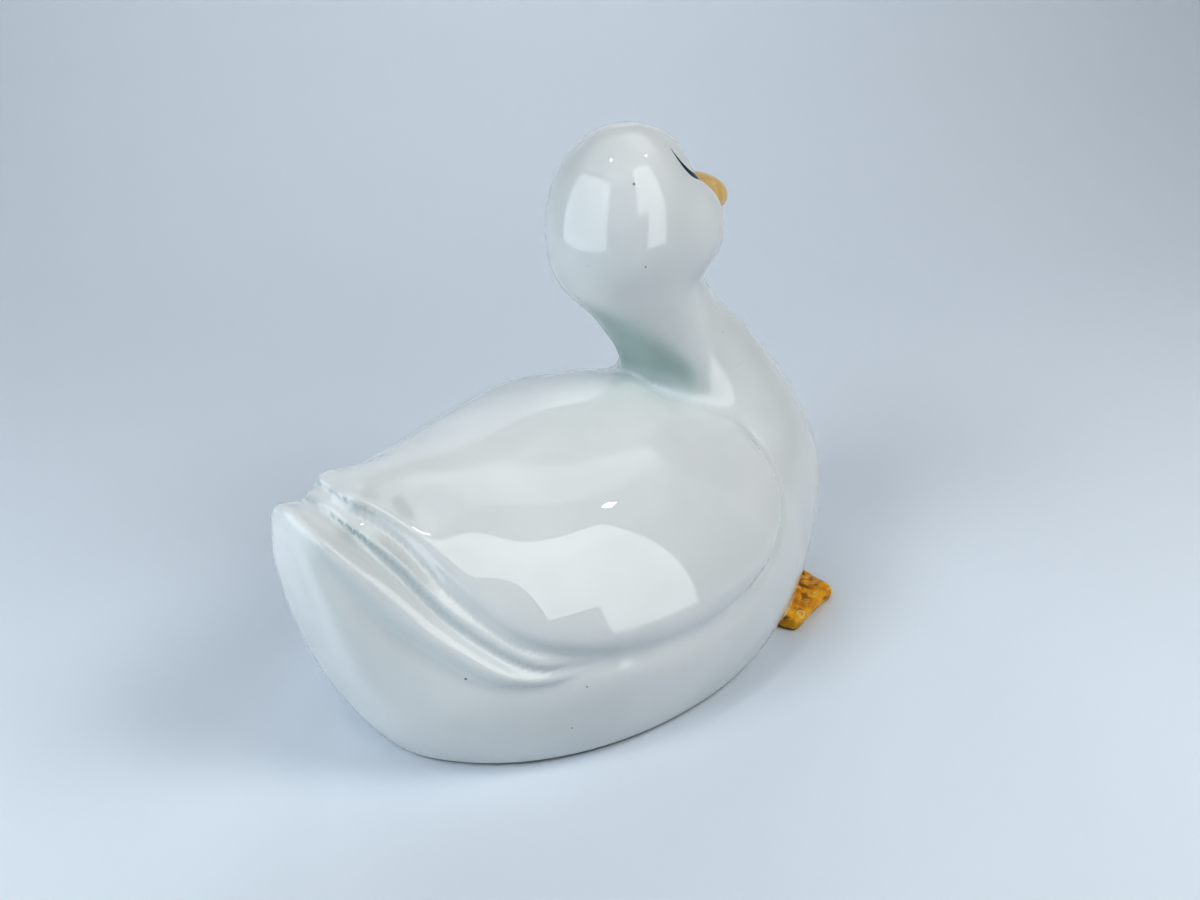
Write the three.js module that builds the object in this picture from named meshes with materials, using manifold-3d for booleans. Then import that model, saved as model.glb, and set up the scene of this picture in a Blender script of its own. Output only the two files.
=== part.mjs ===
// A sleeping duck with folded wings: one hollow earthenware casting, glazed white, modelled as one solid.
// Millimetres. X runs from the tail to the breast, Y to the duck's left, Z up from the table.
import * as THREE from 'three';
import { mergeVertices } from 'three/addons/utils/BufferGeometryUtils.js';
import Module from 'manifold-3d';

// Driving dimensions. A centre is [x, z] on the middle plane, radii are [along, across, up].
const HULL = { centre: [5, 31.5], radii: [110, 77, 69.5] };
const TAIL = { centre: [-73, 68.5], radii: [66, 20.5, 23.5], lift: 0.3 };
const STERN = { centre: [-65, 53], radii: [54.5, 28, 35] };
const TAIL_BLEND = 35;
const HULL_BLEND = 34.5;

// The stern is cut off by a narrow upright face that curves in under the tail to the base.
const STERN_TOP = -118;
const STERN_RAKE = 22.5;
const STERN_CURVE = 1.9;
const STERN_HEIGHT = 104;
const STERN_EDGE = 10.5;

// The breast and neck are one round sweep that leans back and thins upwards.
const NECK_PATH = [[78.5, 32.5], [90, 67.5], [55.5, 122.5], [24, 154.5]];
const BREAST_RADIUS = 48;
const NECK_RADIUS = 21.5;
const NECK_TAPER_END = 0.76;
const NECK_BLEND = 18;

const HEAD = { centre: [29.5, 168], radii: [28.8, 27, 32.6] };
const CHEEK = { centre: [44.7, 10.3, 163], radius: 18.8, bridge: 3, blend: 10.5 };
const HEAD_BLEND = 16;
const BILL = { centre: [63, 169], radii: [17.5, 11, 7.8], droop: 0.16 };

// The folded wing lies over two lower folds. Each is the outline of a raised layer, seen from the side.
const WING = {
  outline: [[-109.5, 113], [-108.5, 105], [-101, 101], [-91, 91], [-81, 71], [-69, 56], [-50, 48],
    [-14, 43.5], [11, 46], [30, 53], [50, 67], [61, 81], [57, 91], [46, 100], [34, 112], [15, 128],
    [-40, 140], [-100, 130]],
  height: [3.9, 7], edge: [20, 9], fade: [-40, -100],
};
const UPPER_FOLD = {
  outline: [[-109, 112], [-108, 102], [-104.5, 97.5], [-95, 83], [-83, 63], [-67, 47.5], [-54, 44.5],
    [-38, 45], [-20, 60], [-20, 140], [-100, 130]],
  height: [0, 4.8], edge: [7, 7], fade: [-28, -85],
};
const LOWER_FOLD = {
  outline: [[-120, 112], [-119, 99], [-112, 84], [-97, 60], [-79, 43], [-68, 40], [-57, 40], [-42, 43],
    [-22, 58], [-20, 140], [-110, 130]],
  height: [0, 2.4], edge: [8, 8], fade: [-28, -80],
};
const LAYER_BLEND = 1;
const EDGE_ROUNDING = 2.6;

// Both webbed feet lie flat under the breast and point outwards. Points are [x, y] of the left foot.
const FOOT = {
  heel: [56, 24], toes: [[103, 30], [98, 60], [66, 66]], webs: [[99, 45], [81, 61]],
  thickness: 7, edge: 2.5, toeRound: 6,
};

// The casting is centred on this x, so that the origin is under its middle.
const MIDDLE_X = 4.9;

// The surface mesh: rings of points across the duck, from the stern to the crown. The rings' planes turn
// about the crook behind the neck, and then about the throat under the bill.
const POINTS_ROUND = 58;
const STERN_RINGS = 16;
const BODY_RINGS = 24;
const BREAST_RINGS = 26;
const THROAT_RINGS = 7;
const CROWN_RINGS = 13;
const STERN_CENTRE = [-84, 62];
const MIDSHIP_CENTRE = [6, 46];
const CROOK = [6, 130];
const THROAT = [83, 130];
const HEAD_CENTRE = [31, 164];
const STERN_CROWDING = 0.35;
const TRIAL_POINTS = 90;
const FOLD_WEIGHT = 3.4;
const FOLD_REACH = 6;

// Flat facets lie inside the curve they follow, so the surface is let out by this much.
const FACET_ALLOWANCE = 0.1;

const mix = (a, b, t) => a + (b - a) * t;
const clamp = (value, low, high) => Math.min(Math.max(value, low), high);

function smoothStep(start, end, value) {
  const t = clamp((value - start) / (end - start), 0, 1);
  return t * t * (3 - 2 * t);
}

// Joins two distances as clay is smoothed over a joint, within the blend's reach.
function join(a, b, blend) {
  const overlap = Math.max(blend - Math.abs(a - b), 0) / blend;
  return Math.min(a, b) - overlap ** 3 * blend / 6;
}

function cut(a, b, blend) {
  return -join(-a, -b, blend);
}

function ellipsoid(x, y, z, centre, radii, pitch = 0) {
  const dx = x - centre[0];
  const dz = z - centre[1];
  const px = dx * Math.cos(pitch) + dz * Math.sin(pitch);
  const pz = -dx * Math.sin(pitch) + dz * Math.cos(pitch);
  const reach = Math.hypot(px / radii[0], y / radii[1], pz / radii[2]);
  const slope = Math.hypot(px / radii[0] ** 2, y / radii[1] ** 2, pz / radii[2] ** 2);
  return reach * (reach - 1) / (slope + 1e-9);
}

// A raised layer is a closed polygon seen from the side. Depth is how far a point lies inside it.
function makeLayer({ outline, height, edge, fade }) {
  const corners = outline.map(([x, z]) => new THREE.Vector3(x, 0, z));
  const stepsPerCorner = 10;
  const curve = new THREE.CatmullRomCurve3(corners, true, 'centripetal');
  const polygon = curve.getPoints(corners.length * stepsPerCorner).slice(0, -1);
  const sides = polygon.map((a, i) => {
    const b = polygon[(i + 1) % polygon.length];
    return { x: a.x, z: a.z, ex: b.x - a.x, ez: b.z - a.z };
  });
  const depth = (x, z) => {
    let nearest = Infinity;
    let inside = false;
    for (const side of sides) {
      const dx = x - side.x;
      const dz = z - side.z;
      const t = clamp((dx * side.ex + dz * side.ez) / (side.ex ** 2 + side.ez ** 2), 0, 1);
      nearest = Math.min(nearest, (dx - t * side.ex) ** 2 + (dz - t * side.ez) ** 2);
      const spans = (side.z > z) !== (side.z + side.ez > z);
      if (spans && dx < side.ex * dz / side.ez) inside = !inside;
    }
    return inside ? Math.sqrt(nearest) : -Math.sqrt(nearest);
  };
  const profile = (x) => {
    const back = smoothStep(fade[0], fade[1], x);
    return { rise: mix(height[0], height[1], back), run: mix(edge[0], edge[1], back) };
  };
  const relief = (x, z) => {
    const { rise, run } = profile(x);
    return rise * (1 - (1 - clamp(depth(x, z) / run, 0, 1)) ** EDGE_ROUNDING);
  };
  const steepness = (x, z) => {
    const { rise, run } = profile(x);
    return rise / run * Math.exp(-((depth(x, z) / FOLD_REACH) ** 2));
  };
  return { relief, steepness };
}

const layers = [WING, UPPER_FOLD, LOWER_FOLD].map(makeLayer);

function featherRelief(x, z) {
  const [wing, upper, lower] = layers.map((layer) => layer.relief(x, z));
  return cut(cut(wing, upper, LAYER_BLEND), lower, LAYER_BLEND);
}

function body(x, y, z) {
  const hull = ellipsoid(x, y, z, HULL.centre, HULL.radii);
  const tail = ellipsoid(x, y, z, TAIL.centre, TAIL.radii, -TAIL.lift);
  const stern = ellipsoid(x, y, z, STERN.centre, STERN.radii);
  const form = join(hull, join(tail, stern, TAIL_BLEND), HULL_BLEND);
  const sternFace = STERN_TOP + STERN_RAKE * Math.abs(1 - z / STERN_HEIGHT) ** STERN_CURVE;
  return cut(form, sternFace - x, STERN_EDGE) - featherRelief(x, z);
}

// The neck is the skin round a row of balls that shrink as they climb the path.
const NECK_STEPS = 120;
const neckBalls = Array.from({ length: NECK_STEPS + 1 }, (_, i) => {
  const t = i / NECK_STEPS;
  const weights = [(1 - t) ** 3, 3 * (1 - t) ** 2 * t, 3 * (1 - t) * t ** 2, t ** 3];
  const sum = (axis) => weights.reduce((total, w, k) => total + w * NECK_PATH[k][axis], 0);
  return { x: sum(0), z: sum(1), radius: mix(BREAST_RADIUS, NECK_RADIUS, smoothStep(0, NECK_TAPER_END, t)) };
});

function neck(x, y, z) {
  let nearest = Infinity;
  for (const ball of neckBalls) {
    nearest = Math.min(nearest, Math.sqrt((x - ball.x) ** 2 + y ** 2 + (z - ball.z) ** 2) - ball.radius);
  }
  return nearest;
}

function head(x, y, z) {
  const crown = ellipsoid(x, y, z, HEAD.centre, HEAD.radii);
  const [cx, cy, cz] = CHEEK.centre;
  const side = Math.hypot(y, CHEEK.bridge);
  const cheek = Math.hypot(x - cx, side - cy, z - cz) - CHEEK.radius;
  return join(crown, cheek, CHEEK.blend);
}

function duck(x, y, z) {
  const torso = join(body(x, y, z), neck(x, y, z), NECK_BLEND);
  return join(torso, head(x, y, z), HEAD_BLEND) - FACET_ALLOWANCE;
}

// Walks along a ray from inside by the distance still to go, until it meets the surface.
function surfacePoint(start, direction) {
  const point = start.clone();
  const closeEnough = 0.002;
  const mostSteps = 60;
  const share = 0.9;
  for (let i = 0; i < mostSteps; i += 1) {
    const gap = duck(point.x, point.y, point.z);
    point.addScaledVector(direction, -share * gap);
    if (Math.abs(gap) < closeEnough) break;
  }
  return point;
}

const vector = ([x, z]) => new THREE.Vector3(x, 0, z);

// A ring's plane turns about a hinge that lies in the air beside the duck. Its centre is half-way through.
function hingedRing(hinge, away, ventral) {
  const start = vector(hinge);
  const reach = 260;
  const stride = 2;
  let entry = 0;
  let exit = 0;
  for (let t = 0; t < reach; t += stride) {
    const p = start.clone().addScaledVector(away, t);
    if (duck(p.x, p.y, p.z) < 0) {
      if (!entry) entry = t;
      exit = t;
    } else if (entry) {
      break;
    }
  }
  const centre = start.clone().addScaledVector(away, (entry + exit) / 2);
  return { centre, ventral, axis: away, cone: Math.PI / 2 };
}

function ringPlan() {
  const down = new THREE.Vector3(0, 0, -1);
  const rings = [];
  for (let i = 1; i <= STERN_RINGS; i += 1) {
    const cone = Math.PI / 2 * i / STERN_RINGS;
    rings.push({ centre: vector(STERN_CENTRE), axis: new THREE.Vector3(-1, 0, 0), ventral: down, cone });
  }
  for (let i = 1; i < BODY_RINGS; i += 1) {
    const t = i / BODY_RINGS;
    const x = mix(STERN_CENTRE[0], MIDSHIP_CENTRE[0], mix(t, t * t, STERN_CROWDING));
    const centre = vector([x, mix(STERN_CENTRE[1], MIDSHIP_CENTRE[1], t)]);
    rings.push({ centre, axis: down, ventral: down, cone: Math.PI / 2 });
  }
  for (let i = 0; i < BREAST_RINGS; i += 1) {
    const turn = -Math.PI / 2 + Math.PI / 2 * i / BREAST_RINGS;
    const away = new THREE.Vector3(Math.cos(turn), 0, Math.sin(turn));
    rings.push(hingedRing(CROOK, away, away));
  }
  const lookBack = vector(HEAD_CENTRE).sub(vector(THROAT)).normalize();
  const lastTurn = Math.atan2(lookBack.z, lookBack.x);
  for (let i = 0; i < THROAT_RINGS; i += 1) {
    const turn = mix(Math.PI, lastTurn, i / THROAT_RINGS);
    const away = new THREE.Vector3(Math.cos(turn), 0, Math.sin(turn));
    rings.push(hingedRing(THROAT, away, away.clone().negate()));
  }
  const ventral = lookBack.clone().negate();
  const axis = new THREE.Vector3(lookBack.z, 0, -lookBack.x);
  for (let i = 0; i < CROWN_RINGS; i += 1) {
    const cone = Math.PI / 2 * (1 - i / CROWN_RINGS);
    rings.push({ centre: vector(HEAD_CENTRE), axis, ventral, cone });
  }
  return rings;
}

// Counts for more where a layer's edge is steep, so that the lines of points follow the folds.
function detail(point) {
  return 1 + FOLD_WEIGHT * Math.max(...layers.map(({ steepness }) => steepness(point.x, point.z)));
}

// A ring is traced evenly first, and its points are then spread by length and detail.
function ringPoints({ centre, axis, ventral, cone }) {
  const across = new THREE.Vector3(0, 1, 0);
  const cast = (angle) => {
    const radial = ventral.clone().multiplyScalar(Math.cos(angle)).addScaledVector(across, Math.sin(angle));
    const direction = radial.multiplyScalar(Math.sin(cone)).addScaledVector(axis, Math.cos(cone));
    return surfacePoint(centre, direction.normalize());
  };
  const half = POINTS_ROUND / 2;
  const trial = Array.from({ length: TRIAL_POINTS + 1 }, (_, i) => cast(Math.PI * i / TRIAL_POINTS));
  const reached = [0];
  trial.slice(1).forEach((point, i) => {
    const previous = trial[i];
    const middle = previous.clone().lerp(point, 0.5);
    reached.push(reached[i] + previous.distanceTo(point) * detail(middle));
  });
  const total = reached[TRIAL_POINTS];
  const left = [];
  for (let j = 0; j <= half; j += 1) {
    const goal = total * j / half;
    let i = 0;
    while (i < TRIAL_POINTS - 1 && reached[i + 1] < goal) i += 1;
    const part = (goal - reached[i]) / (reached[i + 1] - reached[i]);
    left.push(cast(Math.PI * (i + part) / TRIAL_POINTS));
  }
  const right = left.slice(1, -1).reverse().map((point) => new THREE.Vector3(point.x, -point.y, point.z));
  return [...left, ...right];
}

function skinGeometry() {
  const rings = ringPlan();
  const [first, last] = [rings[0], rings[rings.length - 1]];
  const points = [
    surfacePoint(first.centre, first.axis),
    ...rings.flatMap(ringPoints),
    surfacePoint(last.centre, last.axis),
  ];
  const tip = points.length - 1;
  const index = [];
  const at = (ring, j) => 1 + ring * POINTS_ROUND + j % POINTS_ROUND;
  for (let j = 0; j < POINTS_ROUND; j += 1) {
    index.push(0, at(0, j + 1), at(0, j));
    index.push(tip, at(rings.length - 1, j), at(rings.length - 1, j + 1));
  }
  // Each patch of four is folded along the diagonal that lies closer to the true surface.
  const miss = (a, b) => {
    const middle = points[a].clone().lerp(points[b], 0.5);
    return Math.abs(duck(middle.x, middle.y, middle.z));
  };
  for (let ring = 0; ring < rings.length - 1; ring += 1) {
    for (let j = 0; j < POINTS_ROUND; j += 1) {
      const [a, b] = [at(ring, j), at(ring, j + 1)];
      const [c, d] = [at(ring + 1, j + 1), at(ring + 1, j)];
      if (miss(a, c) < miss(b, d)) index.push(a, b, c, a, c, d);
      else index.push(a, b, d, b, c, d);
    }
  }
  const geometry = new THREE.BufferGeometry();
  geometry.setAttribute('position', new THREE.Float32BufferAttribute(points.flatMap((p) => p.toArray()), 3));
  geometry.setIndex(index);
  return geometry;
}

// The short bill is its own round form, let into the face.
function billGeometry() {
  const { centre, radii, droop } = BILL;
  const sidesRound = 28;
  const sidesAlong = 16;
  return new THREE.SphereGeometry(1, sidesRound, sidesAlong)
    .rotateX(Math.PI / 2)
    .rotateY(Math.PI / 2)
    .scale(...radii)
    .rotateY(droop)
    .translate(centre[0], 0, centre[1]);
}

// A webbed foot from above: a fan of three round toes with the web drawn in between them.
function footGeometry(side) {
  const point = ([x, y]) => new THREE.Vector2(x, y);
  const [inner, middle, outer] = FOOT.toes.map(point);
  const [innerWeb, outerWeb] = FOOT.webs.map(point);
  const heel = point(FOOT.heel);
  const shape = new THREE.Shape();
  const corner = (toe, from, to) => {
    const start = toe.clone().sub(from).setLength(toe.distanceTo(from) - FOOT.toeRound).add(from);
    const end = to.clone().sub(toe).setLength(FOOT.toeRound).add(toe);
    return [start, toe, end];
  };
  const corners = [
    corner(inner, heel, innerWeb),
    corner(middle, innerWeb, outerWeb),
    corner(outer, outerWeb, heel),
  ];
  shape.moveTo(heel.x, heel.y);
  corners.forEach(([start, toe, end], i) => {
    if (i === 0) shape.lineTo(start.x, start.y);
    else shape.quadraticCurveTo(...FOOT.webs[i - 1], start.x, start.y);
    shape.quadraticCurveTo(toe.x, toe.y, end.x, end.y);
  });
  shape.closePath();
  const below = 3;
  const geometry = new THREE.ExtrudeGeometry(shape, {
    depth: FOOT.thickness + below - FOOT.edge,
    bevelThickness: FOOT.edge,
    bevelSize: FOOT.edge,
    bevelOffset: -FOOT.edge,
    bevelSegments: 2,
    curveSegments: 4,
  });
  return geometry.translate(0, 0, -below).scale(1, side, 1);
}

const wasm = await Module();
wasm.setup();

function toSolid(geometry, flipped = false) {
  const bare = geometry.clone();
  bare.deleteAttribute('normal');
  bare.deleteAttribute('uv');
  const sameSpot = 1e-4;
  const merged = mergeVertices(bare, sameSpot);
  const triVerts = new Uint32Array(merged.index.array);
  if (flipped) triVerts.reverse();
  const vertProperties = new Float32Array(merged.attributes.position.array);
  return new wasm.Manifold(new wasm.Mesh({ numProp: 3, vertProperties, triVerts }));
}

function toGeometry(solid) {
  const mesh = solid.getMesh();
  const geometry = new THREE.BufferGeometry();
  geometry.setAttribute('position', new THREE.BufferAttribute(new Float32Array(mesh.vertProperties), 3));
  geometry.setIndex(new THREE.BufferAttribute(new Uint32Array(mesh.triVerts), 1));
  return geometry;
}

// The underside is ground flat, so everything below the table's height comes off in one cut.
function groundBlock() {
  const [length, width, depth] = [400, 300, 80];
  return new THREE.BoxGeometry(length, width, depth).translate(0, 0, -depth / 2);
}

const casting = toSolid(skinGeometry())
  .add(toSolid(billGeometry()))
  .add(toSolid(footGeometry(1)))
  .add(toSolid(footGeometry(-1), true))
  .subtract(toSolid(groundBlock()));

const geometry = toGeometry(casting);
geometry.translate(-MIDDLE_X, 0, 0);
geometry.computeVertexNormals();

const glaze = new THREE.MeshStandardMaterial({ color: 0xf1f2ee, roughness: 0.08, metalness: 0 });
const duckMesh = new THREE.Mesh(geometry, glaze);
duckMesh.name = 'duck';

const figurine = new THREE.Group();
figurine.add(duckMesh);

export default figurine;
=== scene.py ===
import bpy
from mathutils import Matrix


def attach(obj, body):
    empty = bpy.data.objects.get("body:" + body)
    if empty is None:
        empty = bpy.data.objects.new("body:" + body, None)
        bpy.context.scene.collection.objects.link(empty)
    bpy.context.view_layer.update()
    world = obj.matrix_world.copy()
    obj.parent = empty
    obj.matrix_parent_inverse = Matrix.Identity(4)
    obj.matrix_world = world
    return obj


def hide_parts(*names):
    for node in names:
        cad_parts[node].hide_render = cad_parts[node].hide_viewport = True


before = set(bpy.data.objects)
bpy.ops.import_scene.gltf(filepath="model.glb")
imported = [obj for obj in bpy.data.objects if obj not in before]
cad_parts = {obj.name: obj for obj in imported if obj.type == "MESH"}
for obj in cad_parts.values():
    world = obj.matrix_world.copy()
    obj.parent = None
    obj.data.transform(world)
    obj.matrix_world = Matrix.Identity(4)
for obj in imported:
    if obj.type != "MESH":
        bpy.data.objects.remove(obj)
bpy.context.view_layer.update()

import math

import bpy
import numpy as np
from mathutils import Vector


# The body: hull, tail and stern.
# The duck is one hollow earthenware casting. Its body is three egg shapes smoothed into each other as clay
# is, with a narrow upright face cut across the stern. Lengths are in millimetres and centres are (x, z).
HULL_CENTRE, HULL_RADII = (5, 31.5), (110, 77, 69.5)
TAIL_CENTRE, TAIL_RADII, TAIL_LIFT = (-73, 68.5), (66, 20.5, 23.5), 0.3
STERN_CENTRE, STERN_RADII = (-65, 53), (54.5, 28, 35)
TAIL_BLEND, HULL_BLEND = 35, 34.5
STERN_TOP, STERN_RAKE, STERN_CURVE, STERN_HEIGHT, STERN_EDGE = -118, 22.5, 1.9, 104, 10.5
TINY = 1e-9


def join(a, b, blend):
    """Joins two distances as clay is smoothed over a joint, within the blend's reach."""
    overlap = np.maximum(blend - np.abs(a - b), 0) / blend
    return np.minimum(a, b) - overlap**3 * blend / 6


def cut(a, b, blend):
    """Keeps only what lies within both forms, with the edge between them rounded."""
    return -join(-a, -b, blend)


def ellipsoid(p, centre, radii, lift=0.0):
    """Distance to an egg shape centred on the middle plane, its front end turned down by lift radians."""
    dx, dz = p[:, 0] - centre[0], p[:, 2] - centre[1]
    along = dx * math.cos(lift) - dz * math.sin(lift)
    up = dx * math.sin(lift) + dz * math.cos(lift)
    scaled = np.stack([along, p[:, 1], up], 1) / radii
    reach = np.linalg.norm(scaled, axis=1)
    return reach * (reach - 1) / (np.linalg.norm(scaled / radii, axis=1) + TINY)


def body_form(p):
    hull = ellipsoid(p, HULL_CENTRE, HULL_RADII)
    tail = ellipsoid(p, TAIL_CENTRE, TAIL_RADII, TAIL_LIFT)
    stern = ellipsoid(p, STERN_CENTRE, STERN_RADII)
    form = join(hull, join(tail, stern, TAIL_BLEND), HULL_BLEND)
    stern_face = STERN_TOP + STERN_RAKE * np.abs(1 - p[:, 2] / STERN_HEIGHT) ** STERN_CURVE
    return cut(form, stern_face - p[:, 0], STERN_EDGE)


# The folded wings.
# Each side carries one large wing over two lower folds, cast in relief. Each is a raised layer with a rounded
# edge: an outline (x, z) seen from the side, and measures at its front, middle and back.
WING = {
    "outline": [(-109.5, 113), (-108.5, 105), (-101, 101), (-91, 91), (-81, 71), (-69, 56), (-50, 48),
                (-14, 43), (12, 44), (33, 49), (47, 56), (57, 63.5), (62, 72), (62, 80), (57, 88), (47, 94.5),
                (37, 100), (32, 109), (15, 127), (-40, 140), (-100, 130)],
    "height": (3.9, 3.9, 7), "edge": (7, 14, 7), "fade": (-15, -100),
    "valley": (1.2, 1.2, 2), "valley_width": (2.2, 5, 2.8),
}
UPPER_FOLD = {
    "outline": [(-109, 112), (-108, 102), (-104.5, 97.5), (-95, 83), (-83, 63), (-67, 47.5), (-54, 44.5),
                (-38, 45), (-20, 60), (-20, 140), (-100, 130)],
    "height": (0, 0, 4.8), "edge": (7, 7, 5.5), "fade": (-28, -85),
    "valley": (0, 0, 1.6), "valley_width": (3, 3, 2.5),
}
LOWER_FOLD = {
    "outline": [(-120, 112), (-119, 99), (-112, 84), (-97, 60), (-79, 43), (-68, 40), (-57, 40), (-42, 43),
                (-22, 58), (-20, 140), (-110, 130)],
    "height": (0, 0, 2.4), "edge": (8, 8, 7), "fade": (-28, -80),
    "valley": (0, 0, 0.4), "valley_width": (4, 4, 3),
}
LAYER_BLEND, EDGE_ROUNDING, GLAZE_FILLET, VALLEY_SHIFT, FRONT_FADE = 1.8, 2.4, 0.2, 1.2, (42, 12)
OUTLINE_MARGIN, FAR_OUTSIDE, POINTS_AT_ONCE = 15, -99.0, 8000
ROLL_RISES, ROLL_FULLNESS, ROLL_WIDTH, ROLL_FADE = (1.3, 1.9), 1.4, (1, 7), (-35, -75)
PLEAT_RISE, PLEATS, PLEAT_WIDTH, PLEAT_FADE = 0.3, 2, (3, 9), (-66, -90)
NECK_FOOT_X, NECK_FOOT_Z = (10, 30), (78, 93)


def smooth_step(start, end, value):
    """Rises softly from nought at the start to one at the end."""
    t = np.clip((value - start) / (end - start), 0, 1)
    return t * t * (3 - 2 * t)


def closed_curve(corners, steps=10):
    """A smooth closed line through the corners, as a polygon."""
    corners = np.array(corners, float)
    points = []
    for i in range(len(corners)):
        before, start, end, after = (corners[(i + k) % len(corners)] for k in (-1, 0, 1, 2))
        gap_a, gap, gap_b = (math.sqrt(np.linalg.norm(v)) for v in (start - before, end - start, after - end))
        leave = (start - before) / gap_a - (end - before) / (gap_a + gap) + (end - start) / gap
        arrive = (end - start) / gap - (after - start) / (gap + gap_b) + (after - end) / gap_b
        for t in np.arange(steps) / steps:
            points.append((2 * t**3 - 3 * t**2 + 1) * start + (t**3 - 2 * t**2 + t) * gap * leave
                          + (3 * t**2 - 2 * t**3) * end + (t**3 - t**2) * gap * arrive)
    return np.array(points)


def depth_inside(polygon, u, v):
    """How far each point (u, v) lies inside the polygon, and below zero outside it."""
    ends = np.roll(polygon, -1, 0)
    side = ends - polygon
    length = (side**2).sum(1)
    depths = []
    for part in np.array_split(np.arange(len(u)), len(u) // POINTS_AT_ONCE + 1):
        du, dv = u[part, None] - polygon[:, 0], v[part, None] - polygon[:, 1]
        t = np.clip((du * side[:, 0] + dv * side[:, 1]) / length, 0, 1)
        near = np.sqrt(((du - t * side[:, 0]) ** 2 + (dv - t * side[:, 1]) ** 2).min(1))
        spans = (polygon[:, 1] > v[part, None]) != (ends[:, 1] > v[part, None])
        crossing = dv * side[:, 0] / np.where(side[:, 1] == 0, TINY, side[:, 1])
        inside = (spans & (du < crossing)).sum(1) % 2 == 1
        depths.append(np.where(inside, near, -near))
    return np.concatenate(depths)


def layer_relief(layer, p):
    """One layer's height with a rounded edge, the valley along its foot, and each point's depth inside."""
    x, z = p[:, 0], p[:, 2]
    polygon = closed_curve(layer["outline"])
    ahead, behind = 1 - smooth_step(*FRONT_FADE, x), smooth_step(*layer["fade"], x)
    rise, run, valley, width = (
        front * ahead + back * behind + middle * (1 - ahead - behind)
        for front, middle, back in (layer[name] for name in ("height", "edge", "valley", "valley_width")))
    height, hollow, depth = np.zeros(len(p)), np.zeros(len(p)), np.full(len(p), FAR_OUTSIDE)
    first, last = polygon.min(0) - OUTLINE_MARGIN, polygon.max(0) + OUTLINE_MARGIN
    near = (rise > 0) & (x > first[0]) & (x < last[0]) & (z > first[1])
    depth[near] = depth_inside(polygon, x[near], z[near])
    share = depth[near] / run[near]
    share = (share + np.sqrt(share**2 + GLAZE_FILLET**2)) / 2
    height[near] = rise[near] * (1 - (1 - np.clip(share, 0, 1)) ** EDGE_ROUNDING)
    hollow[near] = valley[near] * np.exp(-(((depth[near] + VALLEY_SHIFT) / width[near]) ** 2))
    return height, hollow, depth


def roll(p, inner_depth, outer_depth, rise):
    """A rounded roll between two layers' edges, with finer pleats along it towards the tail."""
    inner, outer = np.maximum(-inner_depth, 0), np.maximum(outer_depth, 0)
    between = (inner > 0) & (outer > 0)
    width = inner + outer
    share = np.where(between, inner / np.maximum(width, TINY), 0)
    crown = rise * (4 * share * (1 - share)) ** ROLL_FULLNESS * smooth_step(*ROLL_WIDTH, width)
    pleat = PLEAT_RISE * np.sin(2 * math.pi * PLEATS * share) * smooth_step(*PLEAT_WIDTH, width)
    return crown * smooth_step(*ROLL_FADE, p[:, 0]) + pleat * smooth_step(*PLEAT_FADE, p[:, 0])


def feather_relief(p):
    """How far the feathers stand up from the body, and how deep the lines between them are pressed in."""
    (wing, wing_valley, wing_in), (upper, upper_valley, upper_in), (lower, lower_valley, lower_in) = (
        layer_relief(layer, p) for layer in (WING, UPPER_FOLD, LOWER_FOLD))
    layers = cut(cut(wing, upper, LAYER_BLEND), lower, LAYER_BLEND)
    rolls = roll(p, wing_in, upper_in, ROLL_RISES[0]) + roll(p, upper_in, lower_in, ROLL_RISES[1])
    at_neck = smooth_step(*NECK_FOOT_Z, p[:, 2]) * smooth_step(*NECK_FOOT_X, p[:, 0])
    return layers + rolls, (wing_valley + upper_valley + lower_valley) * (1 - at_neck)


# The breast and neck.
# One round sweep that rises from the breast, leans back and thins towards the head. It is the skin round a
# row of balls along a curve of four (x, z) control points.
NECK_PATH = [(78.5, 32.5), (90, 67.5), (55.5, 122.5), (24, 154.5)]
BREAST_RADIUS, NECK_RADIUS, NECK_TAPER_END, NECK_BLEND, NECK_STEPS = 48, 21.5, 0.76, 18, 120

neck_t = np.linspace(0, 1, NECK_STEPS + 1)
neck_weights = np.stack([(1 - neck_t) ** 3, 3 * (1 - neck_t) ** 2 * neck_t,
                         3 * (1 - neck_t) * neck_t**2, neck_t**3])
neck_line = neck_weights.T @ np.array(NECK_PATH)
neck_radius = BREAST_RADIUS + (NECK_RADIUS - BREAST_RADIUS) * smooth_step(0, NECK_TAPER_END, neck_t)


def neck_form(p):
    nearest = np.full(len(p), np.inf)
    for (x, z), radius in zip(neck_line, neck_radius):
        from_ball = np.sqrt((p[:, 0] - x) ** 2 + p[:, 1] ** 2 + (p[:, 2] - z) ** 2) - radius
        nearest = np.minimum(nearest, from_ball)
    return nearest


# The head.
# An egg-shaped crown with two full cheeks at its front, so the sides of the face dip a little above them. It
# comes out of the mould in one with the neck.
HEAD_CENTRE, HEAD_RADII, HEAD_BLEND = (29.5, 168), (28.8, 27, 32.6), 16
CHEEK_CENTRE, CHEEK_RADIUS, CHEEK_BRIDGE, CHEEK_BLEND = (44.7, 10.3, 163), 18.8, 3, 10.5


def head_form(p):
    crown = ellipsoid(p, HEAD_CENTRE, HEAD_RADII)
    side = np.hypot(p[:, 1], CHEEK_BRIDGE)
    cheek = np.sqrt((p[:, 0] - CHEEK_CENTRE[0]) ** 2 + (side - CHEEK_CENTRE[1]) ** 2
                    + (p[:, 2] - CHEEK_CENTRE[2]) ** 2) - CHEEK_RADIUS
    return join(crown, cheek, CHEEK_BLEND)


# The bill.
# A short flattened oval let into the face and turned down a little. It is pressed in the mould with the head
# and has no separate halves.
BILL_CENTRE, BILL_RADII, BILL_DROOP, BILL_FILLET = (63, 169), (18.1, 11.6, 8.6), 0.16, 1.6


def bill_form(p):
    return ellipsoid(p, BILL_CENTRE, BILL_RADII, BILL_DROOP)


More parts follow.
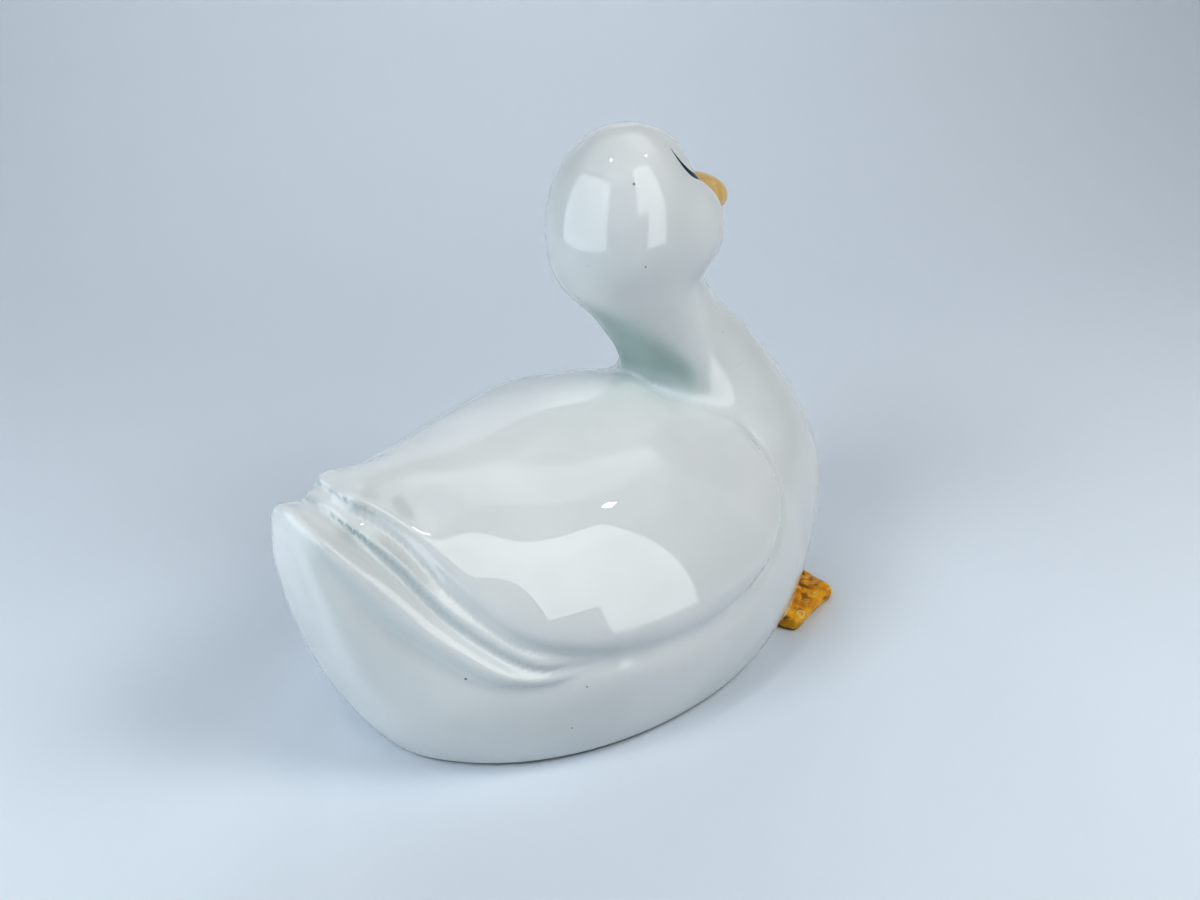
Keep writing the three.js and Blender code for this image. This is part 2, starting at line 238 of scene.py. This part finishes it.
# The webbed feet.
# Both feet lie flat under the breast and point outwards, cast with the body. Each is a fan of three low toes
# with a thinner web drawn in between them. Points are (x, y) of the left foot; the right one mirrors it.
HEEL = (56, 24)
TOES = [(103, 30), (98, 60), (66, 66)]
WEBS = [(99, 45), (81, 61)]
TOE_ROUND, WEB_THICKNESS, FOOT_EDGE, FOOT_FILLET = 3, 5.6, 3.5, 2
TOE_RISE, TOE_WIDTH, TOE_REACH = 1.3, 5.5, 0.95
LUMP_HEIGHT, LUMPS_ALONG, LUMPS_ACROSS, LUMPS_SLANTED = 0.35, 1.1, 1.3, (0.7, 0.8)
FOOT_SPAN_X, FOOT_SPAN_Y, FOOT_TOP, FOOT_CLEARANCE = (40, 120), (10, 80), 20, 25.0


def foot_outline():
    """The fan's outline: straight sides, rounded toes, and a web curved in between each two."""
    heel, toes, webs = np.array(HEEL, float), np.array(TOES, float), np.array(WEBS, float)

    def towards(start, end, length):
        return start + (end - start) / np.linalg.norm(end - start) * length

    def bow(start, middle, end, steps=8):
        t = np.arange(1, steps + 1)[:, None] / steps
        return list((1 - t) ** 2 * start + 2 * (1 - t) * t * middle + t**2 * end)

    points = [heel]
    for i, toe in enumerate(toes):
        before = heel if i == 0 else webs[i - 1]
        after = heel if i == 2 else webs[i]
        start, end = towards(toe, before, TOE_ROUND), towards(toe, after, TOE_ROUND)
        points += [start] if i == 0 else bow(points[-1], webs[i - 1], start)
        points += bow(start, toe, end)
    return np.array(points)


foot_polygon = foot_outline()


def foot_form(p):
    x, y, z = p[:, 0], np.abs(p[:, 1]), p[:, 2]
    apart = np.full(len(p), FOOT_CLEARANCE)
    near = (z < FOOT_TOP) & (x > FOOT_SPAN_X[0]) & (x < FOOT_SPAN_X[1])
    near &= (y > FOOT_SPAN_Y[0]) & (y < FOOT_SPAN_Y[1])
    q = np.stack([x[near], y[near]], 1)
    ridge = np.zeros(len(q))
    for toe in TOES:
        line = np.array(toe, float) - HEEL
        t = np.clip((q - HEEL) @ line / (line @ line), 0, TOE_REACH)
        off = np.linalg.norm(q - HEEL - t[:, None] * line, axis=1)
        ridge = np.maximum(ridge, np.exp(-((off / TOE_WIDTH) ** 2)))
    lumps = np.sin(q[:, 0] * LUMPS_ALONG + 1) * np.sin(q[:, 1] * LUMPS_ACROSS + 2)
    lumps += np.sin(q[:, 0] * LUMPS_SLANTED[0] - q[:, 1] * LUMPS_SLANTED[1])
    top = z[near] - WEB_THICKNESS - TOE_RISE * ridge - LUMP_HEIGHT * lumps
    side = -depth_inside(foot_polygon, q[:, 0], q[:, 1])
    apart[near] = cut(side, top, FOOT_EDGE)
    return apart


# The casting.
# All of the above comes out of one mould, touched up by hand in the clay, and its edge is ground flat to
# stand on. The solid is remeshed finely, and each point is settled onto the exact form.
# The frame's origin lies this far forwards of where the sizes above start.
FORWARD_SHIFT = 4.9
# A touch is a spot (x, y, z) on both sides, how far it reaches, and how high it stands.
TOUCHES = [((-98, 10, 104), 6, 1.6), ((-78, 19, 97.5), 9, -2.1), ((-100.5, 15, 94.5), 4, -1.0),
           ((-114, 12, 95), 7, 0.7), ((7, 43, 95), 14, 1.2), ((26, 37, 94.5), 9, -0.9),
           ((42, 14.5, 103.5), 8, -1.3), ((46, 9, 194), 8, 0.9), ((51, 12.5, 181), 6, -1.4),
           ((86, 10, 116), 12, 1.1), ((111, 35, 55), 14, 1.0)]
BASE_EDGE, GLAZE_THICKNESS = 2.2, 0.8
UNEVENNESS, WAVES = 0.06, [((0.11, 0.07, 0.05), 0), ((-0.05, 0.13, 0.09), 2), ((0.06, -0.04, 0.15), 4)]
MESH_STEP = 1.3
WELD_REACH = 1e-6
SETTLE_ROUNDS, LEAST_GRADE, LONGEST_MOVE = 3, 0.25, 2
EVEN_ROUNDS, EVEN_SHARE, SMOOTH_ROUNDS, HOLLOW_ROUNDS = 3, 0.6, 5, 10
SHADE_PROBE_REACH, SHADE_FACING = 26, (0.75, 0.3)


def face_form(p):
    """The whole casting but for its bill and feet."""
    raised, pressed = feather_relief(p)
    torso = join(body_form(p) - raised, neck_form(p), NECK_BLEND) + pressed
    waves = sum((np.sin(p @ direction + start) for direction, start in WAVES), len(WAVES))
    whole = join(torso, head_form(p), HEAD_BLEND) + UNEVENNESS * waves
    for (x, y, z), reach, rise in TOUCHES:
        apart = (p[:, 0] - x) ** 2 + (np.abs(p[:, 1]) - y) ** 2 + (p[:, 2] - z) ** 2
        whole -= rise * np.exp(-apart / reach**2)
    return whole


def duck_form(p):
    whole = join(join(face_form(p), bill_form(p), BILL_FILLET), foot_form(p), FOOT_FILLET)
    return cut(whole, -p[:, 2], BASE_EDGE)


def slope(p, reach=0.1):
    """The direction in which the form's distance grows fastest at each point."""
    steps = [duck_form(p + offset) - duck_form(p - offset) for offset in np.eye(3) * reach]
    return np.stack(steps, 1) / (2 * reach)


def facing(p, reach=0.1):
    """The same direction at length one."""
    grade = slope(p, reach)
    return grade / np.linalg.norm(grade, axis=1, keepdims=True)


def settle(p, rounds):
    """Moves each point straight onto the form's skin."""
    for _ in range(rounds):
        grade = slope(p)
        strength = np.maximum((grade**2).sum(1), LEAST_GRADE)
        p = p - np.clip(duck_form(p) / strength, -LONGEST_MOVE, LONGEST_MOVE)[:, None] * grade
    return p


bpy.ops.object.select_all(action="DESELECT")
casting = bpy.data.objects.new("glazed_duck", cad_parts["duck"].data.copy())
bpy.context.scene.collection.objects.link(casting)
bpy.context.view_layer.objects.active = casting
casting.select_set(True)
bpy.ops.object.mode_set(mode="EDIT")
bpy.ops.mesh.select_all(action="SELECT")
bpy.ops.mesh.remove_doubles(threshold=WELD_REACH)
bpy.ops.object.mode_set(mode="OBJECT")
remesh = casting.modifiers.new("fine skin", "REMESH")
remesh.mode = "VOXEL"
remesh.voxel_size = MESH_STEP / 1000
bpy.ops.object.modifier_apply(modifier=remesh.name)

skin = casting.data
spots = np.empty(len(skin.vertices) * 3)
skin.vertices.foreach_get("co", spots)
spots = spots.reshape(-1, 3) * 1000 + (FORWARD_SHIFT, 0, 0)
edges = np.empty(len(skin.edges) * 2, np.int64)
skin.edges.foreach_get("vertices", edges)
edges = edges.reshape(-1, 2)
neighbours = np.bincount(edges.ravel(), minlength=len(spots))


def neighbour_mean(values):
    """The mean over each point's neighbours."""
    total = [np.bincount(edges[:, 0], column[edges[:, 1]], len(spots))
             + np.bincount(edges[:, 1], column[edges[:, 0]], len(spots)) for column in values.T]
    return np.stack(total, 1) / neighbours[:, None]


spots = settle(spots, SETTLE_ROUNDS)
for _ in range(EVEN_ROUNDS):
    outward = facing(spots)
    slide = neighbour_mean(spots) - spots
    slide -= (slide * outward).sum(1)[:, None] * outward
    spots = settle(spots + EVEN_SHARE * slide, 1)
for _ in range(SMOOTH_ROUNDS):
    spots = (spots + neighbour_mean(spots)) / 2
outward = facing(spots, GLAZE_THICKNESS)

skin.vertices.foreach_set("co", ((spots - (FORWARD_SHIFT, 0, 0)) / 1000).ravel())
skin.update()
bpy.ops.object.shade_smooth()
skin.normals_split_custom_set_from_vertices(outward)


def mark(name, values):
    """Stores one number per point for the glazes to read."""
    layer = skin.attributes.new(name, "FLOAT", "POINT")
    layer.data.foreach_set("value", values.astype(np.float32))


hollow = ((neighbour_mean(spots) - spots) * outward).sum(1)
for _ in range(HOLLOW_ROUNDS):
    hollow = neighbour_mean(hollow[:, None])[:, 0]
mark("hollow", hollow / MESH_STEP**2)
# A nook is a place with another part of the duck close above it, most of all under the head. It is marked
# here to take painted shade.
nook_painted_shade = 1 - duck_form(spots + outward * SHADE_PROBE_REACH) / SHADE_PROBE_REACH
mark("nook_painted_shade", nook_painted_shade * smooth_step(*SHADE_FACING, outward[:, 2]))
mark("bill_gap", bill_form(spots) - face_form(spots))
mark("foot_gap", foot_form(spots) - face_form(spots))

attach(casting, "root")
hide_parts("duck")


# The white glaze.
# A clear gloss over a white body, poured on and fired. It is a little darker and greener where it pools in
# the folds, and its tone drifts slightly where it lies thicker. Under the head and in the other nooks a
# darker green-grey is painted on as shade.
glaze = bpy.data.materials.new("glazes")
glaze.use_nodes = True
tree = glaze.node_tree
tree.nodes.clear()


def add(kind, inputs=None, into=None, **settings):
    """Adds a node, sets its options, and fills or connects its inputs."""
    made = (into or tree).nodes.new(kind)
    for name, value in settings.items():
        setattr(made, name, value)
    for name, value in (inputs or {}).items():
        if isinstance(value, bpy.types.NodeSocket):
            (into or tree).links.new(value, made.inputs[name])
        else:
            made.inputs[name].default_value = value
    return made


def sum_up(operation, a, b=0.0, into=None):
    """One step of arithmetic on one or two values."""
    return add("ShaderNodeMath", {0: a, 1: b}, into, operation=operation).outputs[0]


def shade(red, green, blue):
    """A colour from its usual 0 to 255 values."""
    scaled = [v / 255 for v in (red, green, blue)]
    return [v / 12.92 if v <= 0.04045 else ((v + 0.055) / 1.055) ** 2.4 for v in scaled] + [1]


def mix_colour(share, a, b):
    return add("ShaderNodeMix", {0: share, 6: a, 7: b}, data_type="RGBA").outputs[2]


def mix_value(share, a, b):
    return add("ShaderNodeMix", {0: share, 2: a, 3: b}).outputs[0]


def ramp(value, start, end, low=0.0, high=1.0):
    """Passes softly from low to high as the value goes from start to end."""
    inputs = {0: value, 1: start, 2: end, 3: low, 4: high}
    return add("ShaderNodeMapRange", inputs, interpolation_type="SMOOTHSTEP").outputs[0]


def attribute(name):
    return add("ShaderNodeAttribute", attribute_name=name).outputs["Fac"]


place = add("ShaderNodeTexCoord").outputs["Object"]


def clouds(size, detail=2.0, roughness=0.5, distortion=0.0):
    """Soft noise whose patches are about that many millimetres across."""
    inputs = {"Vector": place, "Scale": 1000 / size, "Detail": detail}
    inputs |= {"Roughness": roughness, "Distortion": distortion}
    return add("ShaderNodeTexNoise", inputs).outputs[0]


WHITE, WHITE_DEEP = shade(232, 234, 234), shade(227, 230, 230)
WHITE_POOLED, WHITE_PAINTED_SHADE = shade(208, 217, 220), shade(182, 199, 196)
POOLING, POOLED_SHARE, PAINTED_SHADE_SPAN = (0.004, 0.05), 0.6, (0.04, 0.85)
WHITE_ROUGHNESS = (0.01, 0.022)
white = mix_colour(ramp(clouds(45), 0.35, 0.65), WHITE, WHITE_DEEP)
# Painted shade: a darker green-grey laid where another part of the duck hangs close above, most of all under
# the head.
white = mix_colour(ramp(attribute("nook_painted_shade"), *PAINTED_SHADE_SPAN), white, WHITE_PAINTED_SHADE)
white = mix_colour(sum_up("MULTIPLY", ramp(attribute("hollow"), *POOLING), POOLED_SHARE), white, WHITE_POOLED)
white_roughness = ramp(clouds(18, 4), 0.3, 0.7, *WHITE_ROUGHNESS)


# The bill's glaze.
# Ochre brushed over the white glaze while it was raw. It is paler in patches, browner at the root and the
# edges, and less glossy than the white.
BRUSH_MARKS = {"Scale": 260, "Detail": 3}
edge_group = bpy.data.node_groups.new("Brushed edge", "ShaderNodeTree")
for socket in ("Distance", "Wobble", "Softness"):
    edge_group.interface.new_socket(socket, in_out="INPUT", socket_type="NodeSocketFloat")
edge_group.interface.new_socket("Inside", in_out="OUTPUT", socket_type="NodeSocketFloat")
edge_in = add("NodeGroupInput", into=edge_group).outputs
edge_out = add("NodeGroupOutput", into=edge_group)
edge_place = add("ShaderNodeTexCoord", into=edge_group).outputs["Object"]
edge_marks = add("ShaderNodeTexNoise", {"Vector": edge_place} | BRUSH_MARKS, edge_group).outputs[0]
edge_sway = sum_up("SUBTRACT", edge_marks, 0.5, edge_group)
edge_shift = sum_up("MULTIPLY", edge_sway, edge_in["Wobble"], edge_group)
edge_distance = sum_up("ADD", edge_in["Distance"], edge_shift, edge_group)
edge_low = sum_up("MULTIPLY", edge_in["Softness"], -1.0, edge_group)
edge_inside = add("ShaderNodeMapRange", {0: edge_distance, 1: edge_in["Softness"], 2: edge_low}, edge_group)
edge_group.links.new(edge_inside.outputs[0], edge_out.inputs["Inside"])


def brushed_edge(distance, wobble, softness):
    """One inside the painted patch and nought outside it, with a hand-brushed border."""
    made = add("ShaderNodeGroup", node_tree=edge_group)
    tree.links.new(distance, made.inputs["Distance"])
    made.inputs["Wobble"].default_value = wobble
    made.inputs["Softness"].default_value = softness
    return made.outputs["Inside"]


BILL_OCHRE, BILL_PALE, BILL_BROWN = shade(226, 189, 122), shade(234, 211, 162), shade(192, 138, 88)
BILL_BRUSH, BROWN_ROOT, BROWN_SHARE, BILL_ROUGHNESS = (0.5, 0.15), (-2.6, -0.4), 0.75, 0.28
bill_gap = attribute("bill_gap")
on_bill = brushed_edge(bill_gap, *BILL_BRUSH)
bill_colour = mix_colour(ramp(clouds(5, 4, 0.6), 0.35, 0.7), BILL_OCHRE, BILL_PALE)
bill_colour = mix_colour(ramp(bill_gap, *BROWN_ROOT, 0.0, BROWN_SHARE), bill_colour, BILL_BROWN)


# The feet's glaze.
# A runny amber glaze, thick and uneven: brown where it breaks, pale where it thins, with a burst bubble's
# ring and a bare chip of the white body on the right foot's web.
AMBER, AMBER_DEEP = shade(244, 186, 26), shade(216, 146, 4)
AMBER_PALE, AMBER_BROWN, CHIP_WHITE = shade(252, 230, 150), shade(122, 74, 6), shade(214, 210, 200)
FOOT_BRUSH, PALE_SHARE, BLOTCH_SCALE, BLOTCH_SHARE = (0.9, 0.2), 0.85, 330, 0.75
AMBER_ROUGHNESS = (0.08, 0.22)
on_feet = brushed_edge(attribute("foot_gap"), *FOOT_BRUSH)
blotch_inputs = {"Vector": place, "Scale": BLOTCH_SCALE, "Randomness": 1}
blotches = add("ShaderNodeTexVoronoi", blotch_inputs, feature="SMOOTH_F1").outputs[0]
amber = mix_colour(ramp(clouds(6, 4, 0.6, 0.6), 0.36, 0.62), AMBER, AMBER_DEEP)
amber = mix_colour(ramp(clouds(4.5, 5, 0.7, 1.2), 0.56, 0.7, 0, PALE_SHARE), amber, AMBER_PALE)
amber = mix_colour(ramp(blotches, 0.5, 0.7, 0, BLOTCH_SHARE), amber, AMBER_BROWN)


def distance_to(point):
    """Millimetres from a spot given as (x, y, z) in millimetres."""
    spot = [(point[0] - FORWARD_SHIFT) / 1000, point[1] / 1000, point[2] / 1000]
    away = add("ShaderNodeVectorMath", {0: place, 1: spot}, operation="DISTANCE").outputs["Value"]
    return sum_up("MULTIPLY", away, 1000.0)


BUBBLE, BUBBLE_RADIUS, BUBBLE_RIM, BUBBLE_SHARE = (72, -63, 6), 1.9, (0.7, 0.2), 0.7
CHIP, CHIP_RADIUS, CHIP_BREAK = (80, -63, 5.5), 1.6, (1.6, 0.3)
off_bubble = sum_up("ABSOLUTE", sum_up("SUBTRACT", distance_to(BUBBLE), BUBBLE_RADIUS))
bubble_ring = ramp(off_bubble, *BUBBLE_RIM)
amber = mix_colour(sum_up("MULTIPLY", bubble_ring, BUBBLE_SHARE), amber, AMBER_PALE)
chip_inside = brushed_edge(sum_up("SUBTRACT", distance_to(CHIP), CHIP_RADIUS), *CHIP_BREAK)
amber = mix_colour(chip_inside, amber, CHIP_WHITE)


# The closed eyes.
# A lash line on each side, painted in dark blue-green under the clear glaze with one stroke of a fine
# brush: it starts as a hair above, swells as it turns forwards under the lid, and tapers out at the front.
EYE_SPOT = (36.7, 19.0, 189.9)
EYE_FORWARD, EYE_UP = (0.948, -0.253, -0.192), (0.009, -0.581, 0.808)
LID_CENTRE, LID_RADIUS = (10.8, 5.0), 11.1
LASH_BACK, LASH_FRONT, LASH_WIDTH, LASH_SWELL = math.radians(-96), math.radians(45), 1.15, 1.3
LASH_COLOUR, LASH_BRUSH, LASH_TIP, EYE_REACH = shade(24, 64, 86), (0.25, 0.1), (0.03, 0.1), 0.03
parts = add("ShaderNodeSeparateXYZ", {0: place}).outputs
outwards = sum_up("ABSOLUTE", parts[1])
either_side = add("ShaderNodeCombineXYZ", {0: parts[0], 1: outwards, 2: parts[2]}).outputs[0]
eye_origin = [(EYE_SPOT[0] - FORWARD_SHIFT) / 1000, EYE_SPOT[1] / 1000, EYE_SPOT[2] / 1000]
eye_offset = add("ShaderNodeVectorMath", {0: either_side, 1: eye_origin}, operation="SUBTRACT").outputs[0]


def along_axis(axis):
    """How far a point lies from the eye along an axis, in millimetres."""
    share = add("ShaderNodeVectorMath", {0: eye_offset, 1: axis}, operation="DOT_PRODUCT").outputs["Value"]
    return sum_up("MULTIPLY", share, 1000.0)


from_lid_along = sum_up("SUBTRACT", along_axis(EYE_FORWARD), LID_CENTRE[0])
from_lid_down = sum_up("SUBTRACT", LID_CENTRE[1], along_axis(EYE_UP))
turn = sum_up("ARCTAN2", from_lid_along, from_lid_down)
along_lash = add("ShaderNodeMapRange", {0: turn, 1: LASH_BACK, 2: LASH_FRONT}).outputs[0]
swell = sum_up("SINE", sum_up("MULTIPLY", sum_up("POWER", along_lash, LASH_SWELL), math.pi))
along_squared, down_squared = (sum_up("MULTIPLY", part, part) for part in (from_lid_along, from_lid_down))
from_lid = sum_up("SQRT", sum_up("ADD", along_squared, down_squared))
off_line = sum_up("ABSOLUTE", sum_up("SUBTRACT", from_lid, LID_RADIUS))
lash = brushed_edge(sum_up("SUBTRACT", off_line, sum_up("MULTIPLY", swell, LASH_WIDTH)), *LASH_BRUSH)
eye_away = add("ShaderNodeVectorMath", {0: eye_offset}, operation="LENGTH").outputs["Value"]
lash = sum_up("MULTIPLY", lash, sum_up("LESS_THAN", eye_away, EYE_REACH))
lash = sum_up("MULTIPLY", lash, ramp(swell, *LASH_TIP))


# The ground underside.
# The casting was wiped and ground flat to stand on, so the underside is bare biscuit ware, matt and a
# little grey from handling, and the glaze stops in a wavering line round its edge.
BISCUIT, BISCUIT_GREY = shade(214, 206, 190), shade(188, 181, 168)
BISCUIT_ROUGHNESS, BISCUIT_GRAIN = 0.85, 0.25
GLAZE_LINE, GLAZE_LINE_EDGE = 0.55, (0.7, 0.12)
from_ground = sum_up("MULTIPLY", parts[2], 1000.0)
bare = brushed_edge(sum_up("SUBTRACT", from_ground, GLAZE_LINE), *GLAZE_LINE_EDGE)
biscuit = mix_colour(ramp(clouds(12, 5, 0.65), 0.35, 0.7), BISCUIT, BISCUIT_GREY)


# Pinholes.
# Small pits where gas burst through the glaze in firing, each a dark grey dot of about a millimetre or less.
# Those on the right side are where they are on the real piece; a few more are strewn over the rest.
# A pinhole is its spot (x, y, z) and its radius.
PINHOLES = [(15.6, -18.9, 185.3, 0.5), (-42.6, -34.6, 92.2, 0.36), (-83.4, -44.8, 45.1, 0.4),
            (-54.3, -63.8, 19.6, 0.3), (-50, -66.8, 36.6, 0.26), (62, -21.7, 120, 0.34),
            (67.3, -26.1, 107, 0.22), (2, -10.2, 157.4, 0.24), (16.6, -24.2, 157.2, 0.28),
            (-30, 66, 40, 0.32), (40, 62, 52, 0.26), (-70, 30, 88, 0.36), (20, 20, 150, 0.24),
            (104, 20, 60, 0.3), (88, -12, 95, 0.24)]
PINHOLE_RIM, PINHOLE_FLOOR, PINHOLE_SHARE, PINHOLE_ROUGHNESS = 1.5, 0.5, 0.9, 0.6
PINHOLE_COLOUR = shade(118, 118, 120)
pit = 0.0
for *pinhole, radius in PINHOLES:
    pit = sum_up("MAXIMUM", pit, ramp(distance_to(pinhole), radius * PINHOLE_RIM, radius * PINHOLE_FLOOR))


# All the finishes on the casting.
# They are fired together into one skin: white, then ochre and amber, the lash lines, the pits and the bare
# underside, each laid over the last.
BUMP_DEPTH, RING_LUMP = 0.0003, 0.6
colour = mix_colour(on_bill, white, bill_colour)
colour = mix_colour(on_feet, colour, amber)
colour = mix_colour(lash, colour, LASH_COLOUR)
colour = mix_colour(sum_up("MULTIPLY", pit, PINHOLE_SHARE), colour, PINHOLE_COLOUR)
colour = mix_colour(bare, colour, biscuit)
roughness = mix_value(on_bill, white_roughness, BILL_ROUGHNESS)
roughness = mix_value(on_feet, roughness, ramp(clouds(3, 3), 0.3, 0.7, *AMBER_ROUGHNESS))
roughness = mix_value(pit, roughness, PINHOLE_ROUGHNESS)
roughness = mix_value(bare, roughness, BISCUIT_ROUGHNESS)
lumps = sum_up("MULTIPLY", on_feet, clouds(3.2, 3, 0.6, 0.4))
lumps = sum_up("ADD", lumps, sum_up("MULTIPLY", bubble_ring, RING_LUMP))
lumps = sum_up("SUBTRACT", lumps, pit)
lumps = sum_up("ADD", lumps, sum_up("MULTIPLY", bare, sum_up("MULTIPLY", clouds(0.7, 3), BISCUIT_GRAIN)))
bump = add("ShaderNodeBump", {"Height": lumps, "Strength": 1.0, "Distance": BUMP_DEPTH}).outputs[0]
finish = {"Base Color": colour, "Roughness": roughness, "Normal": bump, "IOR": 1.5}
surface = add("ShaderNodeBsdfPrincipled", finish)
add("ShaderNodeOutputMaterial", {0: surface.outputs[0]})
skin.materials.clear()
skin.materials.append(glaze)


# The stage: a pale paper sweep.
# One sheet of matt paper lies flat under the duck and curves up behind it.
CAMERA_AIM = Vector((0.6005, 0.6516, -0.4635))
SWEEP_START, SWEEP_RADIUS, SWEEP_HEIGHT, SWEEP_BACK, SWEEP_HALF_WIDTH = 0.42, 0.5, 2.0, -3.0, 3.0
SWEEP_STEPS, PAPER_COLOUR, PAPER_ROUGHNESS, PAPER_SHEEN = 25, shade(219, 225, 232), 0.75, 0.2
away = Vector((CAMERA_AIM.x, CAMERA_AIM.y, 0)).normalized()
aside = Vector((away.y, -away.x, 0))
bend = [(SWEEP_START + SWEEP_RADIUS * math.sin(angle), SWEEP_RADIUS * (1 - math.cos(angle)))
        for angle in np.linspace(0, math.pi / 2, SWEEP_STEPS)]
profile = [(SWEEP_BACK, 0.0)] + bend + [(SWEEP_START + SWEEP_RADIUS, SWEEP_HEIGHT)]
corners = [away * forwards + Vector((0, 0, up)) + aside * sideways
           for forwards, up in profile for sideways in (-SWEEP_HALF_WIDTH, SWEEP_HALF_WIDTH)]
faces = [(2 * i, 2 * i + 1, 2 * i + 3, 2 * i + 2) for i in range(len(profile) - 1)]
sheet = bpy.data.meshes.new("paper_sweep")
sheet.from_pydata(corners, [], faces)
sheet.polygons.foreach_set("use_smooth", [True] * len(faces))
sweep = bpy.data.objects.new("paper_sweep", sheet)
bpy.context.scene.collection.objects.link(sweep)
paper = bpy.data.materials.new("pale paper")
paper.use_nodes = True
paper_surface = paper.node_tree.nodes["Principled BSDF"]
paper_surface.inputs["Base Color"].default_value = PAPER_COLOUR
paper_surface.inputs["Roughness"].default_value = PAPER_ROUGHNESS
paper_surface.inputs["Specular IOR Level"].default_value = PAPER_SHEEN
sheet.materials.append(paper)


# The light.
# Two large soft windows, a skylight, two small ceiling lamps and a pale room show in the gloss. Dimmer
# panels behind the windows, and soft lights overhead, light the duck and the paper.
DAYLIGHT, COOL_LIGHT, SKY_LIGHT = (1.0, 1.0, 1.0), (0.95, 0.98, 1.0), (0.92, 0.96, 1.0)
CEILING_LIGHT, FAINT_BLUE, PALE_BLUE = (0.9, 0.96, 1.0), (0.94, 0.97, 1.0), (0.97, 0.99, 1.0)
BLUE_FILL, FAINT_YELLOW = (0.82, 0.94, 1.0), (1.0, 1.0, 0.98)
WINDOW_GLOW, LAMP_GLOW, DUCK_MIDDLE = 2.7, 60, (0, 0, 0.1)
ROOM_COLOUR, ROOM_STRENGTH = (0.84, 0.96, 1, 1), 0.43


def panel(name, spot, target, width, tall, radiance, colour, lights="all"):
    """A soft rectangular light of even brightness, facing the target, for the gloss, the matt or all."""
    lamp = bpy.data.lights.new(name, "AREA")
    lamp.shape = "RECTANGLE"
    lamp.size, lamp.size_y = width, tall
    lamp.energy = radiance * math.pi * width * tall
    lamp.color = colour
    made = bpy.data.objects.new(name, lamp)
    bpy.context.scene.collection.objects.link(made)
    made.location = spot
    made.rotation_euler = (Vector(target) - Vector(spot)).to_track_quat("-Z", "Y").to_euler()
    made.visible_camera = False
    made.visible_diffuse = lights != "gloss"
    made.visible_glossy = lights != "matt"


def overhead(name, forwards, sideways, radiance, colour, width=0.4, above=0.7):
    """A soft light over the paper, placed along and across the camera's direction."""
    spot = away * forwards + aside * sideways + Vector((0, 0, above))
    panel(name, spot, spot - Vector((0, 0, 1)), width, width, radiance, colour, "matt")


panel("window_right", (0.05, -0.5, 0.56), (0.05, 0, 0.56), 0.36, 0.62, WINDOW_GLOW, DAYLIGHT, "gloss")
panel("window_right_low", (0.115, -0.5, 0.13), (0.115, 0, 0.13), 0.23, 0.24, WINDOW_GLOW, DAYLIGHT, "gloss")
panel("window_left", (-0.47, 0.09, 0.32), (0, 0.09, 0.32), 0.76, 0.62, 2.6, SKY_LIGHT, "gloss")
panel("skylight", (0.3, 0.02, 0.75), (0.05, 0.0, 0.1), 0.46, 0.34, 0.8, DAYLIGHT, "gloss")
panel("ceiling", (0, 0, 1.6), (0, 0, 0), 2.6, 2.6, 0.55, CEILING_LIGHT, "gloss")
panel("lamp_a", (-0.59, -0.02, 1.7), DUCK_MIDDLE, 0.09, 0.09, LAMP_GLOW, DAYLIGHT)
panel("lamp_b", (0.64, -0.68, 1.7), DUCK_MIDDLE, 0.07, 0.07, LAMP_GLOW, DAYLIGHT)
panel("fill_right", (0.11, -0.6, 0.44), (0.11, 0, 0.44), 0.5, 0.86, 0.4, COOL_LIGHT, "matt")
panel("fill_left", (-0.57, 0.13, 0.36), (0, 0.13, 0.36), 0.76, 0.7, 0.7, BLUE_FILL, "matt")
overhead("over_left", -0.5, -0.55, 9.8, FAINT_BLUE)
overhead("over_right", -0.2, 0.55, 8, FAINT_YELLOW)
for number, (sideways, radiance) in enumerate(((-0.55, 2.6), (0, 2.9), (0.55, 1.3))):
    overhead(f"over_back_{number}", 0.7, sideways, radiance, PALE_BLUE)
overhead("over_far", 1.15, 0, 16, COOL_LIGHT)
for number, (forwards, sideways) in enumerate(((-1.5, -1.3), (-1.5, 1.3), (0, -1.9), (0, 1.9))):
    overhead(f"over_edge_{number}", forwards, sideways, 0.7, COOL_LIGHT, 1.2, 0.9)
room = bpy.data.worlds.new("pale room")
room.use_nodes = True
room.node_tree.nodes["Background"].inputs[0].default_value = ROOM_COLOUR
room.node_tree.nodes["Background"].inputs[1].default_value = ROOM_STRENGTH
room.cycles_visibility.diffuse = False
bpy.context.scene.world = room


# The camera.
# It looks down on the duck from behind its right shoulder, from about half a metre away.
CAMERA_SPOT = Vector((-0.26791, -0.30435, 0.29296))
FOCAL_LENGTH, FRAME_WIDTH, NEAREST, FARTHEST, CONTRAST = 36, 36, 0.01, 20, 0.7
lens = bpy.data.cameras.new("camera")
lens.lens, lens.sensor_width, lens.sensor_fit = FOCAL_LENGTH, FRAME_WIDTH, "HORIZONTAL"
lens.clip_start, lens.clip_end = NEAREST, FARTHEST
camera = bpy.data.objects.new("camera", lens)
bpy.context.scene.collection.objects.link(camera)
camera.location = CAMERA_SPOT
camera.rotation_euler = CAMERA_AIM.to_track_quat("-Z", "Y").to_euler()
bpy.context.scene.camera = camera
bpy.context.scene.view_settings.view_transform = "Standard"
bpy.context.scene.view_settings.gamma = CONTRAST
